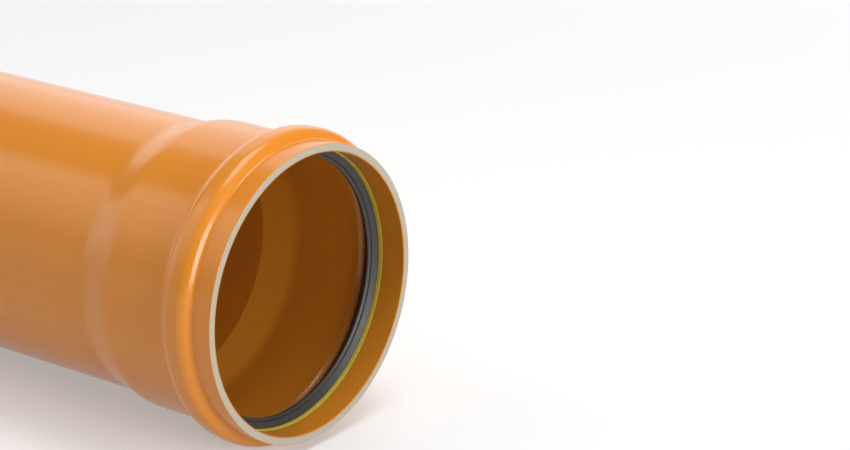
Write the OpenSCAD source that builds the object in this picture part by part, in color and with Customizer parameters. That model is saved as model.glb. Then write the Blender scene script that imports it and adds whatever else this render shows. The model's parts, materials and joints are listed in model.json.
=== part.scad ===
// Socketed sewer pipe of PVC with a lip seal in its socket, lying on a level floor.
// Sizes are in millimetres. The pipe runs along X, with the socket's mouth at the +X end.
// It rests on the bead round the socket and on the spigot's end, so it lies a little aslope.

/* [Barrel] */
// Outside diameter of the barrel
barrel_d = 160; // [125:1:200]
// Wall of the barrel
barrel_wall = 4.7; // [3.2:0.1:7]
// Laying length: what the pipe adds to a run once its spigot is pushed home
laying_length = 1000; // [500:50:3000]

/* [Spigot end] */
// Length of the chamfer that eases the spigot past a seal
chamfer_length = 7; // [4:0.5:14]
// Slope of the chamfer to the pipe's axis, in degrees
chamfer_slope = 15; // [10:1:24]

/* [Socket] */
// Depth of the straight socket, from the mouth to the flare
socket_depth = 80; // [60:1:120]
// Gap all round between a pushed-in spigot and the socket
socket_clearance = 0.3; // [0.1:0.05:0.8]
// Wall of the socket
socket_wall = 4.3; // [3.2:0.1:7]
// Length of the flare inside, from the bore out to the socket
flare_length = 22; // [14:1:40]
// How much nearer the mouth the flare starts outside than inside
flare_lag = 3.5; // [1:0.5:6]
// Rounding of the flare's bends
flare_round = 30; // [5:1:40]

/* [Seal groove and bead] */
// Distance of the groove's middle from the mouth
groove_from_mouth = 23.5; // [20:0.5:30]
// Width of the groove where it opens into the socket
groove_width = 17; // [16:0.5:22]
// Depth of the groove below the socket's wall
groove_depth = 6.9; // [6:0.1:8]
// Slope of the groove's flanks to the pipe's axis, in degrees
flank_slope = 60; // [55:1:70]
// Rounding of the groove's bottom corners
groove_round = 7.5; // [3:0.5:9]
// Wall of the bead that covers the groove
bead_wall = 4.4; // [3.2:0.1:6]
// Rounding of the bead's front shoulder, which faces the mouth
shoulder_round = 6; // [4:0.5:9]
// Rounding of the crease in front of the bead, where the collar starts
front_crease_round = 2.2; // [0.4:0.1:4]
// Rounding of the softer crease behind the bead
back_crease_round = 3.8; // [0.4:0.1:5]

/* [Mouth] */
// Gap all round between a spigot and the mouth's collar
mouth_clearance = 1.2; // [0.9:0.1:2]
// Wall of the mouth's collar
mouth_wall = 4.7; // [3.2:0.1:6]
// Break on the sawn edges of both ends
edge_break = 0.3; // [0.1:0.1:0.6]

/* [Retaining ring] */
// Width of the ring along the pipe, at its inner face
ring_width = 3; // [2:0.1:4]
// Height of the ring from its inner face up the groove's flank
ring_height = 2.5; // [1.8:0.1:3]
// How far the ring stands in from the collar's wall
ring_proud = 0.3; // [0.1:0.1:0.8]

/* [Lip seal] */
// How far the lip's edge reaches in past a spigot's surface, before the spigot opens it
lip_reach = 4.6; // [2.6:0.1:6]
// How far the lip's edge leans back into the socket from the seal's front
lip_lean = 3.3; // [2:0.1:4]
// Thickness of the lip along the pipe
lip_thickness = 2.2; // [1.4:0.1:3]
// Height of the rounded edge of the lip, up to the groove line
lip_edge_height = 2; // [1.2:0.1:2.4]
// Width and depth of the groove line round the lip
line_size = 0.7; // [0.3:0.1:1]
// How far the seal's heel stays back from the socket's wall
heel_setback = 0.4; // [0.1:0.1:0.8]
// Rounding of the seal's heel
heel_round = 0.5; // [0.2:0.1:0.8]
// Gap between the groove, the ring and the seal
seat_gap = 0.15; // [0.05:0.05:0.3]

/* [Hidden] */

// Degrees of turn in one step of a rounded corner
ARC_STEP = 6;

// Radii of the wall, from the barrel out
barrel_r = barrel_d / 2;
bore_r = barrel_r - barrel_wall;
spigot_r = barrel_r - chamfer_length * tan(chamfer_slope);
socket_r = barrel_r + socket_clearance;
socket_out_r = socket_r + socket_wall;
mouth_r = barrel_r + mouth_clearance;
mouth_out_r = mouth_r + mouth_wall;
groove_r = socket_r + groove_depth;
bead_r = groove_r + bead_wall;

// Depths from the mouth: the flare, then the groove's corners inside and the bead's outside
overall_length = laying_length + socket_depth;
flare_end = socket_depth + flare_length;
flank_run = 1 / tan(flank_slope);
half_bottom = groove_width / 2 - groove_depth * flank_run;
half_crest = half_bottom + bead_wall * tan(flank_slope / 2);
groove_front = groove_from_mouth - half_bottom - (groove_r - mouth_r) * flank_run;
groove_back = groove_from_mouth + half_bottom + (groove_r - socket_r) * flank_run;
bead_front = groove_from_mouth - half_crest - (bead_r - mouth_out_r) * flank_run;
bead_back = groove_from_mouth + half_crest + (bead_r - socket_out_r) * flank_run;

// The groove's rounding leaves its bottom corners apart and a straight flank for the ring
flank_length = (groove_r - mouth_r) / sin(flank_slope);
ring_seat = ring_height / sin(flank_slope);
bottom_run = min(half_bottom, flank_length - ring_seat);
bottom_round = min(groove_round, bottom_run / tan(flank_slope / 2));

// Height of the bead behind and in front, and the part of a rounding's radius that it takes up
back_rise = bead_r - socket_out_r;
front_rise = bead_r - mouth_out_r;
round_rise = 1 - cos(flank_slope);

// A crease and the rounding above it share a flank, and the bead's rounding keeps the wall even
back_crease = min(back_crease_round, back_rise / round_rise / 2);
front_crease = min(front_crease_round, front_rise / round_rise / 2);
bead_round = min(bottom_round + bead_wall, back_rise / round_rise - back_crease);
front_round = min(shoulder_round, front_rise / round_rise - front_crease);

// The ring lies on the groove's front flank, and the seal fills the groove behind it
ring_r = mouth_r - ring_proud;
ring_break = min(edge_break, 0.75 * ring_proud);
ring_top_r = ring_r + ring_height;
ring_back = groove_front + ring_width;
flank_gap = seat_gap / sin(flank_slope);
seal_front = ring_back + seat_gap;
seal_half_bottom = half_bottom - seat_gap * tan(flank_slope / 2);
heel_r = socket_r + heel_setback;
heel_depth = groove_back - flank_gap - heel_setback * flank_run;
lip_r = barrel_r - lip_reach;
lip_front = seal_front + lip_lean;
lip_slant = lip_lean / (ring_r - lip_r);
line_r = lip_r + lip_edge_height;

// The slope at which bead and spigot both touch the floor, and the middle of the length
spigot_rest = chamfer_length;
crest_back = groove_from_mouth + half_crest - bead_round * tan(flank_slope / 2);
bead_rest = overall_length - crest_back;
lie_angle = atan((bead_r - barrel_r) / (bead_rest - spigot_rest));
lift = barrel_r * cos(lie_angle) - spigot_rest * sin(lie_angle);
middle = (overall_length * cos(lie_angle) + (mouth_out_r - spigot_r) * sin(lie_angle)) / 2;

// A corner of a section: its radius, its depth from the mouth and its rounding
function corner(radius, depth, round = 0) = [radius, overall_length - depth, round];

function flat_point(c) = [c.x, c.y];
function unit(v) = v / norm(v);
function turned(v, angle) =
    [v.x * cos(angle) - v.y * sin(angle), v.x * sin(angle) + v.y * cos(angle)];

// One corner as points: itself if it is sharp, or the arc that touches both its sides
function rounded(before, at, after, radius) =
    radius == 0 ? [at] :
    let (
        back = unit(before - at),
        on = unit(after - at),
        half = acos(back * on) / 2,
        centre = at + unit(back + on) * radius / sin(half),
        start = at + back * radius / tan(half) - centre,
        turn = (180 - 2 * half) * sign(cross(on, back)),
        steps = max(2, ceil(abs(turn) / ARC_STEP))
    )
    [for (i = [0:steps]) centre + turned(start, turn * i / steps)];

// A closed section with each corner rounded as it asks
function section(corners) =
    let (last = len(corners) - 1)
    [for (i = [0:last])
        each rounded(
            flat_point(corners[i == 0 ? last : i - 1]),
            flat_point(corners[i]),
            flat_point(corners[i == last ? 0 : i + 1]),
            corners[i].z)];

// The wall from the spigot along the outside to the mouth, then back along the inside
function pipe_corners() = [
    corner(bore_r, overall_length, edge_break),
    corner(spigot_r, overall_length, edge_break),
    corner(barrel_r, overall_length - chamfer_length),
    corner(barrel_r, flare_end - flare_lag, flare_round),
    corner(socket_out_r, socket_depth, flare_round),
    corner(socket_out_r, bead_back, back_crease),
    corner(bead_r, groove_from_mouth + half_crest, bead_round),
    corner(bead_r, groove_from_mouth - half_crest, front_round),
    corner(mouth_out_r, bead_front, front_crease),
    corner(mouth_out_r, 0, edge_break),
    corner(mouth_r, 0, edge_break),
    corner(mouth_r, groove_front),
    corner(groove_r, groove_from_mouth - half_bottom, bottom_round),
    corner(groove_r, groove_from_mouth + half_bottom, bottom_round),
    corner(socket_r, groove_back),
    corner(socket_r, socket_depth, flare_round),
    corner(bore_r, flare_end),
];

// A wedge whose slanted front lies along the groove's front flank
function ring_corners() = [
    corner(ring_r, groove_front + flank_gap, ring_break),
    corner(mouth_r, groove_front + flank_gap),
    corner(ring_top_r, groove_front + flank_gap + (ring_top_r - mouth_r) * flank_run),
    corner(ring_top_r, ring_back),
    corner(ring_r, ring_back, ring_break),
];

// The groove's rounded bottom one seat gap in, kept only where it lies behind the ring
function seal_seat() =
    let (
        seat_r = groove_r - seat_gap,
        seat_round = bottom_round - seat_gap,
        groove = section([
            corner(mouth_r, groove_front + flank_gap),
            corner(seat_r, groove_from_mouth - seal_half_bottom, seat_round),
            corner(seat_r, groove_from_mouth + seal_half_bottom, seat_round),
            corner(heel_r, heel_depth),
        ])
    )
    [for (p = groove) if (overall_length - p.y > seal_front && p.x > heel_r) [p.x, p.y, 0]];

// The face of the lip slants from the seal's front down to the lip's edge
function lip_face(radius) = seal_front + (ring_r - radius) * lip_slant;

// The seal: its seat in the groove, its heel, the lip that leans back, and the line round it
function seal_corners() = concat(
    seal_seat(),
    [
        corner(heel_r, heel_depth, heel_round),
        corner(heel_r + lip_thickness / 2, lip_front + 2 * lip_thickness, lip_thickness / 2),
        corner(lip_r + lip_thickness / 3, lip_front + lip_thickness, lip_thickness / 4),
        corner(lip_r, lip_front, lip_thickness / 4),
        corner(line_r - line_size / 2, lip_face(line_r - line_size / 2)),
        corner(line_r, lip_face(line_r) + line_size),
        corner(line_r + line_size / 2, lip_face(line_r + line_size / 2)),
        corner(ring_r, seal_front, edge_break),
    ]
);

// A section turned round the pipe's axis, laid along X on the floor
module turned_part(corners) {
    translate([-middle, 0, lift])
        rotate([0, 90 - lie_angle, 0])
            rotate_extrude($fn = 180)
                polygon(section(corners));
}

// The pipe: one extruded wall, its end flared and beaded into a socket
module pipe() {
    color("#d4812f") turned_part(pipe_corners());
}

// The rubber seal in the groove
module seal_ring() {
    color("#3a3a3a") turned_part(seal_corners());
}

// The yellow plastic ring that keeps the seal in the groove
module retaining_ring() {
    color("#d8c84a") turned_part(ring_corners());
}

pipe();
seal_ring();
retaining_ring();
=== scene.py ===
import json
import math

import bmesh
import bpy
from mathutils import Euler, Matrix, Vector


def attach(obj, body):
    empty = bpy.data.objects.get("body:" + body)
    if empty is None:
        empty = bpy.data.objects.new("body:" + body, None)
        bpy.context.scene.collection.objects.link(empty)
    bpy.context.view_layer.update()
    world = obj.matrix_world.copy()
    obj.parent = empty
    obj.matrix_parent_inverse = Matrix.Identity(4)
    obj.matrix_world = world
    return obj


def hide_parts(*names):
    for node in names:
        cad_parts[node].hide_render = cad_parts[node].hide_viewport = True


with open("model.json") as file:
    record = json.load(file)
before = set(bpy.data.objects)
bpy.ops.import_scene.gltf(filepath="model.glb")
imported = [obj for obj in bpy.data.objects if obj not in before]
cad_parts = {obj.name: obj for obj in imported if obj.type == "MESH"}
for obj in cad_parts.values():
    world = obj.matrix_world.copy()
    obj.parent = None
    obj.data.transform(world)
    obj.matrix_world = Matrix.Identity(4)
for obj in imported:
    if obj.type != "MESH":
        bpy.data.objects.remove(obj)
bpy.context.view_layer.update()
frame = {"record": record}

# The pipe: one length of PVC-U sewer pipe, extruded in three layers that can't be parted.
# Its end was heated and pushed over a mandrel, which formed the flare, socket, bead and collar.
# Both ends are sawn and the spigot is chamfered, so the paler foamed core shows there.

# Sizes in millimetres; depths are measured from the mouth along the axis
mounts = {mount["name"]: mount for mount in frame["record"]["mounts"]}
barrel_r = mounts["spigot"]["dims"]["r_mm"]
bore_r = mounts["flow_bore"]["dims"]["r_mm"]
mouth_r = mounts["socket_mouth"]["dims"]["r_mm"]
overall_length = 1080
outer_skin_thick = 0.4
inner_skin_thick = 0.8
edge_break = 0.3
chamfer_length = 7
chamfer_slope = math.radians(15)
socket_r = 80.3
socket_out_r = 84.6
socket_depth = 80
flare_end = 102
flare_lag = 3.5
flare_round = 30
mouth_out_r = 85.9
# The groove's back edge is well rounded, which shows as a soft pale band behind the seal's lip
groove_r = 87.2
groove_middle = 23.5
groove_front = 15.52
groove_back = 32
groove_half_bottom = 4.52
groove_round = 7
groove_front_round = 0.5
groove_back_round = 6
# The bead over the groove has a sharper shoulder in front than behind
bead_r = 91.6
bead_front = 13.15
bead_back = 34.6
bead_half_crest = 7.06
bead_front_round = 6
bead_back_round = 10.2
crease_front_round = 2.2
crease_back_round = 3.79

# How the pipe lies: its axis points out of the mouth, a little uphill
MM = 0.001
axis = Vector(mounts["socket_mouth"]["axis"])
chamfer_start = Vector(mounts["spigot"]["pos_m"])
mouth_centre = chamfer_start + axis * (overall_length - chamfer_length) * MM
lie = axis.to_track_quat("X", "Z").to_matrix().to_4x4()
in_place = Matrix.Translation(mouth_centre) @ lie @ Matrix.Scale(MM, 4)

# How finely a section is turned and rounded, and when two points count as one
SIDES = 256
ROUND_STEP = math.radians(10)
ARC_PIECE = 1.0
SAME_POINT = 0.002
SHARP_EDGE = math.radians(12)


def select_ring(piece, radius, depth):
    """Selects the ring of edges at this radius and depth, in edit mode."""
    mesh = bmesh.from_edit_mesh(piece.data)
    for edge in mesh.edges:
        edge.select_set(all(
            abs(vertex.co.x + depth) < SAME_POINT and abs(vertex.co.yz.length - radius) < SAME_POINT
            for vertex in edge.verts))
    bmesh.update_edit_mesh(piece.data)


def turned(name, corners):
    """Extrudes a ring from corner to corner of a section, closes it and rounds its corners.
    A corner is its radius, its depth and its rounding."""
    bpy.ops.object.select_all(action="DESELECT")
    first_r, first_depth = corners[0][:2]
    bpy.ops.mesh.primitive_circle_add(
        vertices=SIDES, radius=first_r, location=(-first_depth, 0, 0), rotation=(0, math.pi / 2, 0))
    piece = bpy.context.object
    piece.name = name
    piece.data.name = name
    bpy.ops.object.transform_apply()
    bpy.ops.object.mode_set(mode="EDIT")
    bpy.ops.mesh.select_mode(type="EDGE")
    bpy.ops.mesh.select_all(action="SELECT")
    for here, there in zip(corners, corners[1:] + corners[:1]):
        grow = there[0] / here[0]
        bpy.ops.mesh.extrude_region_move(
            TRANSFORM_OT_translate={"value": (here[1] - there[1], 0, 0)})
        bpy.ops.transform.resize(value=(1, grow, grow), center_override=(-there[1], 0, 0))
    bpy.ops.mesh.select_all(action="SELECT")
    bpy.ops.mesh.remove_doubles(threshold=SAME_POINT)
    for i, (radius, depth, rounding) in enumerate(corners):
        if rounding == 0:
            continue
        before = corners[i - 1]
        after = corners[(i + 1) % len(corners)]
        way_in = Vector((radius - before[0], depth - before[1]))
        way_out = Vector((after[0] - radius, after[1] - depth))
        turn = way_in.angle(way_out)
        select_ring(piece, radius, depth)
        bpy.ops.mesh.bevel(
            offset=rounding * math.tan(turn / 2),
            segments=max(math.ceil(turn / ROUND_STEP), math.ceil(turn * rounding / ARC_PIECE)),
            profile=0.5, affect="EDGES", clamp_overlap=False)
    bpy.ops.mesh.select_all(action="SELECT")
    bpy.ops.mesh.remove_doubles(threshold=SAME_POINT)
    bpy.ops.mesh.normals_make_consistent(inside=False)
    bpy.ops.object.mode_set(mode="OBJECT")
    return piece


def lay_down(piece):
    """Lays a finished section turned round X along the pipe's axis and gives it smooth shading."""
    bpy.ops.object.select_all(action="DESELECT")
    piece.select_set(True)
    bpy.context.view_layer.objects.active = piece
    piece.matrix_world = in_place
    bpy.ops.object.transform_apply()
    bpy.ops.object.shade_smooth_by_angle(angle=SHARP_EDGE)
    flat_stays_flat = piece.modifiers.new("flat_stays_flat", "WEIGHTED_NORMAL")
    flat_stays_flat.keep_sharp = True
    bpy.ops.object.modifier_apply(modifier=flat_stays_flat.name)


spigot_r = barrel_r - chamfer_length * math.tan(chamfer_slope)
core_out_r = barrel_r - outer_skin_thick
core_start = overall_length - chamfer_length + outer_skin_thick / math.tan(chamfer_slope)
pipe = turned("socketed_pipe", [
    (bore_r, overall_length, edge_break),
    (bore_r + inner_skin_thick, overall_length, 0),
    (spigot_r, overall_length, edge_break),
    (core_out_r, core_start, 0),
    (barrel_r, overall_length - chamfer_length, 0),
    (barrel_r, flare_end - flare_lag, flare_round),
    (socket_out_r, socket_depth, flare_round),
    (socket_out_r, bead_back, crease_back_round),
    (bead_r, groove_middle + bead_half_crest, bead_back_round),
    (bead_r, groove_middle - bead_half_crest, bead_front_round),
    (mouth_out_r, bead_front, crease_front_round),
    (mouth_out_r, 0, edge_break),
    (mouth_out_r - outer_skin_thick, 0, 0),
    (mouth_r + inner_skin_thick, 0, 0),
    (mouth_r, 0, edge_break),
    (mouth_r, groove_front, groove_front_round),
    (groove_r, groove_middle - groove_half_bottom, groove_round),
    (groove_r, groove_middle + groove_half_bottom, groove_round),
    (socket_r, groove_back, groove_back_round),
    (socket_r, socket_depth, flare_round),
    (bore_r, flare_end, 0),
])


def linear(hex_colour):
    """An sRGB colour such as #d4812f as linear red, green and blue, with full alpha."""
    shares = [int(hex_colour[i:i + 2], 16) / 255 for i in (1, 3, 5)]
    return [s / 12.92 if s <= 0.04045 else ((s + 0.055) / 1.055) ** 2.4 for s in shares] + [1]


def add_node(tree, kind, sockets, **settings):
    """Adds a node with its settings; a socket gets a value, or a link if it is given an output."""
    node = tree.nodes.new(kind)
    for setting, value in settings.items():
        setattr(node, setting, value)
    for socket, value in sockets.items():
        if isinstance(value, bpy.types.NodeSocket):
            tree.links.new(value, node.inputs[socket])
        else:
            node.inputs[socket].default_value = value
    return node


def new_material(name):
    """An empty material, and the output node that its shader goes to."""
    material = bpy.data.materials.new(name)
    material.use_nodes = True
    material.node_tree.nodes.clear()
    return material, add_node(material.node_tree, "ShaderNodeOutputMaterial", {})


def along_the_pipe(tree):
    """Object coordinates turned so that X runs along the pipe's axis, from the mouth's centre."""
    place = add_node(tree, "ShaderNodeTexCoord", {}).outputs["Object"]
    turned_place = add_node(
        tree, "ShaderNodeMapping",
        {"Vector": place, "Location": mouth_centre, "Rotation": lie.to_euler()},
        vector_type="TEXTURE")
    return turned_place.outputs["Vector"]


def extruded_pvc(name, pale, deep):
    """Extruded PVC-U drawn out of a polished die: an even glossy skin between two close colours,
    with faint streaks along the pipe in its gloss and a slow ripple that bends reflections a little."""
    streak_width = 4 * MM
    streak_length = 400 * MM
    streak_depth = 0.0015 * MM
    ripple_width = 40 * MM
    ripple_depth = 0.015 * MM
    glossiest = 0.16
    dullest = 0.21
    material, output = new_material(name)
    tree = material.node_tree
    place = along_the_pipe(tree)
    streak_place = add_node(
        tree, "ShaderNodeMapping",
        {"Vector": place, "Scale": (1 / streak_length, 1 / streak_width, 1 / streak_width)})
    streaks = add_node(
        tree, "ShaderNodeTexNoise",
        {"Vector": streak_place.outputs["Vector"], "Scale": 1, "Detail": 2, "Roughness": 0.5})
    ripple = add_node(
        tree, "ShaderNodeTexNoise",
        {"Vector": place, "Scale": 1 / ripple_width, "Detail": 1, "Roughness": 0.4})
    tint = add_node(
        tree, "ShaderNodeMix",
        {"Factor": streaks.outputs["Fac"], 6: linear(deep), 7: linear(pale)}, data_type="RGBA")
    gloss = add_node(
        tree, "ShaderNodeMapRange",
        {"Value": streaks.outputs["Fac"], "To Min": glossiest, "To Max": dullest})
    streak_relief = add_node(
        tree, "ShaderNodeBump",
        {"Height": streaks.outputs["Fac"], "Distance": streak_depth})
    relief = add_node(
        tree, "ShaderNodeBump",
        {"Height": ripple.outputs["Fac"], "Distance": ripple_depth,
         "Normal": streak_relief.outputs["Normal"]})
    shader = add_node(
        tree, "ShaderNodeBsdfPrincipled",
        {"Base Color": tint.outputs[2], "Roughness": gloss.outputs["Result"], "IOR": 1.46,
         "Normal": relief.outputs["Normal"]})
    tree.links.new(shader.outputs["BSDF"], output.inputs["Surface"])
    return material


# Both skins leave the same die in the same colour; the inner one is painted a little deeper, as painted
# shade inside the socket and bore
outer_skin = extruded_pvc("extruded_orange_pvc", "#e8902b", "#e58d29")
inner_skin = extruded_pvc("extruded_brown_orange_pvc", "#d68c2b", "#d38929")

# Foamed PVC, the light core of the wall: grey-beige and matt where the saw and the chamfering tool
# went through, with fine open cells and the tool's rings round the axis. The real cells are too
# fine to show here, so they are drawn coarser.
foamed_core, output = new_material("sawn_foamed_pvc")
tree = foamed_core.node_tree
place = along_the_pipe(tree)
cell_size = 0.5 * MM
cell_depth = 0.03 * MM
ring_spacing = 0.8 * MM
ring_depth = 0.01 * MM
cells = add_node(
    tree, "ShaderNodeTexNoise",
    {"Vector": place, "Scale": 1 / cell_size, "Detail": 3, "Roughness": 0.6})
# A wave texture of scale 1 has this many waves in a metre
WAVES_PER_UNIT = 20 / math.tau
tool_rings = add_node(
    tree, "ShaderNodeTexWave",
    {"Vector": place, "Scale": 1 / (ring_spacing * WAVES_PER_UNIT), "Distortion": 1.5,
     "Detail": 2, "Detail Scale": 0.4},
    wave_type="RINGS", rings_direction="X")
tint = add_node(
    tree, "ShaderNodeMix",
    {"Factor": cells.outputs["Fac"], 6: linear("#aaa697"), 7: linear("#c1beb1")},
    data_type="RGBA")
ring_relief = add_node(
    tree, "ShaderNodeBump",
    {"Height": tool_rings.outputs["Fac"], "Distance": ring_depth})
relief = add_node(
    tree, "ShaderNodeBump",
    {"Height": cells.outputs["Fac"], "Distance": cell_depth,
     "Normal": ring_relief.outputs["Normal"]})
shader = add_node(
    tree, "ShaderNodeBsdfPrincipled",
    {"Base Color": tint.outputs[2], "Roughness": 0.62, "IOR": 1.5,
     "Normal": relief.outputs["Normal"]})
tree.links.new(shader.outputs["BSDF"], output.inputs["Surface"])

# The core shows between the skins: on the mouth's sawn face, and on the spigot's face and chamfer
OUTSIDE, INSIDE, CORE = range(3)
facing_in = -0.1
for layer in (outer_skin, inner_skin, foamed_core):
    pipe.data.materials.append(layer)
# Faces that look into the pipe take the inner skin, so its deeper colour is painted shade there
for face in pipe.data.polygons:
    radius = face.center.yz.length
    depth = -face.center.x
    core_in_r = inner_skin_thick + (mouth_r if depth < groove_front else bore_r)
    at_mouth = depth < SAME_POINT and core_in_r < radius < mouth_out_r - outer_skin_thick
    at_spigot = depth > core_start and core_in_r < radius < core_out_r
    if at_mouth or at_spigot:
        face.material_index = CORE
    elif radius < core_in_r or face.normal.yz.dot(face.center.yz) < facing_in * radius:
        face.material_index = INSIDE
    else:
        face.material_index = OUTSIDE
lay_down(pipe)
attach(pipe, "root")
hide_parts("pipe")

# The lip seal: one ring of moulded rubber that sits in the groove under the bead.
# Its lip leans back into the socket, and a fine line runs round the lip's face.
seat_gap = 0.15
seal_front = 18.67
seal_front_r = 85.4
seal_out_r = groove_r - seat_gap
seal_shoulder = 20.6
seal_round = 6.5
heel_r = 82.6
heel_depth = 30.5
heel_round = 0.5
lip_root_r = 82.2
lip_root_depth = 26.37
lip_back_r = 76.13
lip_back_depth = 24.17
lip_r = 75.4
lip_front = 21.97
lip_thickness = 2.2
line_r = 77.4
line_width = 0.7
line_edge_round = 0.1
line_bottom_round = 0.15
ring_r = 80.9
lip_slant = (lip_front - seal_front) / (ring_r - lip_r)


def lip_face(radius):
    """Depth of the lip's slanted face at this radius."""
    return seal_front + (ring_r - radius) * lip_slant


seal = turned("lip_seal", [
    (seal_front_r, seal_front, 0),
    (seal_out_r, seal_shoulder, seal_round),
    (seal_out_r, groove_middle + groove_half_bottom, seal_round),
    (heel_r, heel_depth, heel_round),
    (lip_root_r, lip_root_depth, lip_thickness / 2),
    (lip_back_r, lip_back_depth, lip_thickness / 4),
    (lip_r, lip_front, lip_thickness / 4),
    (line_r - line_width / 2, lip_face(line_r - line_width / 2), line_edge_round),
    (line_r, lip_face(line_r) + line_width, line_bottom_round),
    (line_r + line_width / 2, lip_face(line_r + line_width / 2), line_edge_round),
    (ring_r, seal_front, edge_break),
])

# Moulded rubber: near black and soft to the light, with a dull sheen from the mould's fine grain,
# drawn coarser so that it shows, and a pale, uneven bloom.
seal_rubber, output = new_material("moulded_seal_rubber")
tree = seal_rubber.node_tree
place = along_the_pipe(tree)
grain_size = 0.6 * MM
grain_depth = 0.01 * MM
bloom_size = 12 * MM
clean_dullness = 0.38
bloom_dullness = 0.55
grain = add_node(
    tree, "ShaderNodeTexNoise",
    {"Vector": place, "Scale": 1 / grain_size, "Detail": 2, "Roughness": 0.5})
bloom = add_node(
    tree, "ShaderNodeTexNoise",
    {"Vector": place, "Scale": 1 / bloom_size, "Detail": 4, "Roughness": 0.6})
tint = add_node(
    tree, "ShaderNodeMix",
    {"Factor": bloom.outputs["Fac"], 6: linear("#2e2e2e"), 7: linear("#3d3c3c")},
    data_type="RGBA")
dullness = add_node(
    tree, "ShaderNodeMapRange",
    {"Value": bloom.outputs["Fac"], "To Min": clean_dullness, "To Max": bloom_dullness})
relief = add_node(
    tree, "ShaderNodeBump",
    {"Height": grain.outputs["Fac"], "Distance": grain_depth})
shader = add_node(
    tree, "ShaderNodeBsdfPrincipled",
    {"Base Color": tint.outputs[2], "Roughness": dullness.outputs["Result"], "IOR": 1.52,
     "Normal": relief.outputs["Normal"]})
tree.links.new(shader.outputs["BSDF"], output.inputs["Surface"])
seal.data.materials.append(seal_rubber)
lay_down(seal)
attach(seal, "root")
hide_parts("seal_ring")

# The retaining ring: a moulded wedge of yellow polypropylene that snaps into the groove's front.
# It lies on the groove's slanted flank, stands a little proud of the collar and keeps the seal in.
ring_front = 15.69
ring_back = 18.52
ring_top_r = 83.4
ring_top_front = 16.96
ring_break = 0.22
ring = turned("retaining_ring_yellow", [
    (ring_r, ring_front, ring_break),
    (mouth_r, ring_front, 0),
    (ring_top_r, ring_top_front, ring_break),
    (ring_top_r, ring_back, ring_break),
    (ring_r, ring_back, ring_break),
])

# Moulded polypropylene: clear yellow with a waxy, satin shine and a slight cloudiness.
yellow_pp, output = new_material("moulded_yellow_pp")
tree = yellow_pp.node_tree
place = along_the_pipe(tree)
cloud_size = 8 * MM
clear_dullness = 0.3
cloud_dullness = 0.42
clouds = add_node(
    tree, "ShaderNodeTexNoise",
    {"Vector": place, "Scale": 1 / cloud_size, "Detail": 3, "Roughness": 0.5})
tint = add_node(
    tree, "ShaderNodeMix",
    {"Factor": clouds.outputs["Fac"], 6: linear("#d2c23c"), 7: linear("#e0d250")},
    data_type="RGBA")
wax = add_node(
    tree, "ShaderNodeMapRange",
    {"Value": clouds.outputs["Fac"], "To Min": clear_dullness, "To Max": cloud_dullness})
shader = add_node(
    tree, "ShaderNodeBsdfPrincipled",
    {"Base Color": tint.outputs[2], "Roughness": wax.outputs["Result"], "IOR": 1.49})
tree.links.new(shader.outputs["BSDF"], output.inputs["Surface"])
ring.data.materials.append(yellow_pp)
lay_down(ring)
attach(ring, "root")
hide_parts("retaining_ring")

# The floor: a wide sheet of white studio paper under the pipe.
# It keeps the pipe's shadow, and fades into the white background away from it.
# The camera and reflections see it whiter than the light that it throws back on the pipe.
FLOOR_SIZE = 80
FADE_START = 0.55
FADE_END = 1.3
OWN_WHITE = 0.33
bpy.ops.object.select_all(action="DESELECT")
bpy.ops.mesh.primitive_plane_add(size=FLOOR_SIZE)
floor = bpy.context.object
floor.name = "studio_floor"
paper, output = new_material("white_studio_paper")
tree = paper.node_tree
ray = add_node(tree, "ShaderNodeLightPath", {})
seen = add_node(
    tree, "ShaderNodeMath",
    {0: ray.outputs["Is Camera Ray"], 1: ray.outputs["Is Glossy Ray"]}, operation="ADD")
seen = add_node(
    tree, "ShaderNodeMath",
    {0: seen.outputs[0], 1: ray.outputs["Is Transmission Ray"]}, operation="ADD", use_clamp=True)
place = add_node(tree, "ShaderNodeTexCoord", {}).outputs["Object"]
away = add_node(tree, "ShaderNodeVectorMath", {0: place}, operation="LENGTH")
fade = add_node(
    tree, "ShaderNodeMapRange",
    {"Value": away.outputs["Value"], "From Min": FADE_START, "From Max": FADE_END,
     "To Min": OWN_WHITE, "To Max": 1},
    interpolation_type="SMOOTHSTEP")
share = add_node(
    tree, "ShaderNodeMath",
    {0: seen.outputs[0], 1: fade.outputs["Result"]}, operation="MULTIPLY")
paper_tone = add_node(
    tree, "ShaderNodeMix",
    {"Factor": seen.outputs[0], 6: linear("#cccccc"), 7: linear("#ffffff")}, data_type="RGBA")
sheet = add_node(tree, "ShaderNodeBsdfDiffuse", {"Color": paper_tone.outputs[2]})
glow = add_node(tree, "ShaderNodeEmission", {"Color": linear("#ffffff"), "Strength": 1})
both = add_node(
    tree, "ShaderNodeMixShader",
    {0: share.outputs[0], 1: sheet.outputs["BSDF"], 2: glow.outputs["Emission"]})
tree.links.new(both.outputs["Shader"], output.inputs["Surface"])
floor.data.materials.append(paper)

# The light: a room with white walls, a darker strip of ceiling over the pipe, and dim at the right.
# A soft box hangs over the socket, and another stands to the right in front of the mouth.

# Brightness of the parts of the room, in units of white
CEILING_LEFT = 0.25
CEILING_RIGHT = 0.6
LEFT_END = 1.6
LEFT_WALL = 2.4
RIGHT_WALL = 0.3
NEAR_WALL_FOOT = 0.25
FAR_LEFT_WALL = 1.4
FAR_RIGHT_WALL = 0.15
HORIZON = 1
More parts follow.
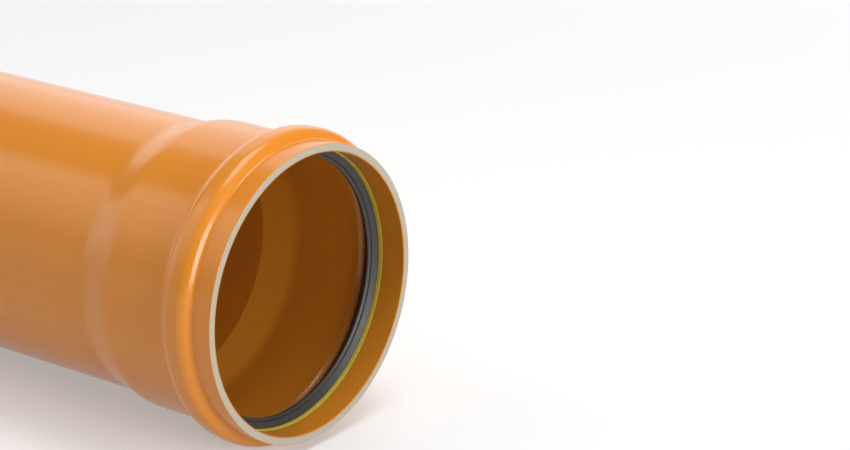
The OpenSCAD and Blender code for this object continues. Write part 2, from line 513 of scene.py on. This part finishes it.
# Where the parts of the room meet, along X and Z of a direction of length 1; the strip goes by Y over Z
left_end_from = -0.82
left_end_to = -0.65
near_wall_left = -0.85
near_wall_right = -0.15
near_wall_low = 0.2
near_wall_high = 0.75
far_wall_left = -0.4
far_wall_right = 0.1
ceiling_left = 0
ceiling_right = 0.4
strip_near = -0.29
strip_far = 0.5
strip_blur = 0.12
horizon_low = 0.03
horizon_high = 0.12
world = bpy.data.worlds.new("white_studio")
bpy.context.scene.world = world
world.use_nodes = True
tree = world.node_tree
tree.nodes.clear()
way = add_node(tree, "ShaderNodeTexCoord", {}).outputs["Generated"]
way = add_node(tree, "ShaderNodeSeparateXYZ", {"Vector": way})
lean = add_node(
    tree, "ShaderNodeMath", {0: way.outputs["Y"], 1: way.outputs["Z"]}, operation="DIVIDE")
near_wall = add_node(
    tree, "ShaderNodeMapRange",
    {"Value": way.outputs["X"], "From Min": near_wall_left, "From Max": near_wall_right,
     "To Min": LEFT_WALL, "To Max": RIGHT_WALL},
    interpolation_type="SMOOTHSTEP")
near_rise = add_node(
    tree, "ShaderNodeMapRange",
    {"Value": way.outputs["Z"], "From Min": near_wall_low, "From Max": near_wall_high,
     "To Min": NEAR_WALL_FOOT, "To Max": 1})
near_wall = add_node(
    tree, "ShaderNodeMath",
    {0: near_wall.outputs["Result"], 1: near_rise.outputs["Result"]}, operation="MULTIPLY")
near_wall = add_node(
    tree, "ShaderNodeMapRange",
    {"Value": way.outputs["X"], "From Min": left_end_from, "From Max": left_end_to,
     "To Min": LEFT_END, "To Max": near_wall.outputs[0]},
    interpolation_type="SMOOTHSTEP")
ceiling = add_node(
    tree, "ShaderNodeMapRange",
    {"Value": way.outputs["X"], "From Min": ceiling_left, "From Max": ceiling_right,
     "To Min": CEILING_LEFT, "To Max": CEILING_RIGHT},
    interpolation_type="SMOOTHSTEP")
near_side = add_node(
    tree, "ShaderNodeMapRange",
    {"Value": lean.outputs[0],
     "From Min": strip_near - strip_blur, "From Max": strip_near + strip_blur,
     "To Min": near_wall.outputs[0], "To Max": ceiling.outputs["Result"]},
    interpolation_type="SMOOTHSTEP")
far_wall = add_node(
    tree, "ShaderNodeMapRange",
    {"Value": way.outputs["X"], "From Min": far_wall_left, "From Max": far_wall_right,
     "To Min": FAR_LEFT_WALL, "To Max": FAR_RIGHT_WALL},
    interpolation_type="SMOOTHSTEP")
far_side = add_node(
    tree, "ShaderNodeMapRange",
    {"Value": lean.outputs[0],
     "From Min": strip_far - strip_blur, "From Max": strip_far + strip_blur,
     "To Min": near_side.outputs["Result"], "To Max": far_wall.outputs["Result"]},
    interpolation_type="SMOOTHSTEP")
above_horizon = add_node(
    tree, "ShaderNodeMapRange",
    {"Value": way.outputs["Z"], "From Min": horizon_low, "From Max": horizon_high,
     "To Min": HORIZON, "To Max": far_side.outputs["Result"]},
    interpolation_type="SMOOTHSTEP")
background = add_node(
    tree, "ShaderNodeBackground",
    {"Color": linear("#ffffff"), "Strength": above_horizon.outputs["Result"]})
add_node(tree, "ShaderNodeOutputWorld", {"Surface": background.outputs["Background"]})

# Watts that make a square metre of lamp look white
WATTS_FOR_WHITE = 4


def soft_box(name, place, aim, width, height, brightness):
    """A soft box that faces a point; at brightness 1 its front would look white."""
    bpy.ops.object.light_add(type="AREA", location=place)
    lamp = bpy.context.object
    lamp.name = name
    lamp.rotation_euler = (aim - place).to_track_quat("-Z", "Y").to_euler()
    lamp.data.shape = "RECTANGLE"
    lamp.data.size = width
    lamp.data.size_y = height
    lamp.data.energy = brightness * WATTS_FOR_WHITE * width * height
    lamp.visible_camera = False


socket_place = mouth_centre - axis * socket_depth * MM
soft_box(
    "top_soft_box", place=socket_place + Vector((0.3, 0.25, 1.9)), aim=socket_place,
    width=1.25, height=0.95, brightness=4)
soft_box(
    "front_soft_box", place=mouth_centre + Vector((2.0, -0.2, 0.37)), aim=mouth_centre,
    width=1.0, height=0.72, brightness=8.2)

# The camera: the photograph's view from the mouth's side, looking down on the socket.
# The mouth's centre is placed by its offsets from the line of sight, right, down and away.
view_turn = math.radians(38)
view_drop = math.radians(20.07)
lens = 125.12
mouth_right = -62.29 * MM
mouth_down = 38.94 * MM
mouth_away = 1640.73 * MM
bpy.ops.object.camera_add()
camera = bpy.context.object
camera.data.sensor_width = 36
camera.data.lens = lens
turn = Euler((math.pi / 2 - view_drop, 0, view_turn))
camera.rotation_euler = turn
camera.location = mouth_centre - turn.to_matrix() @ Vector((mouth_right, -mouth_down, -mouth_away))
bpy.context.scene.camera = camera
bpy.context.scene.view_settings.view_transform = "Standard"
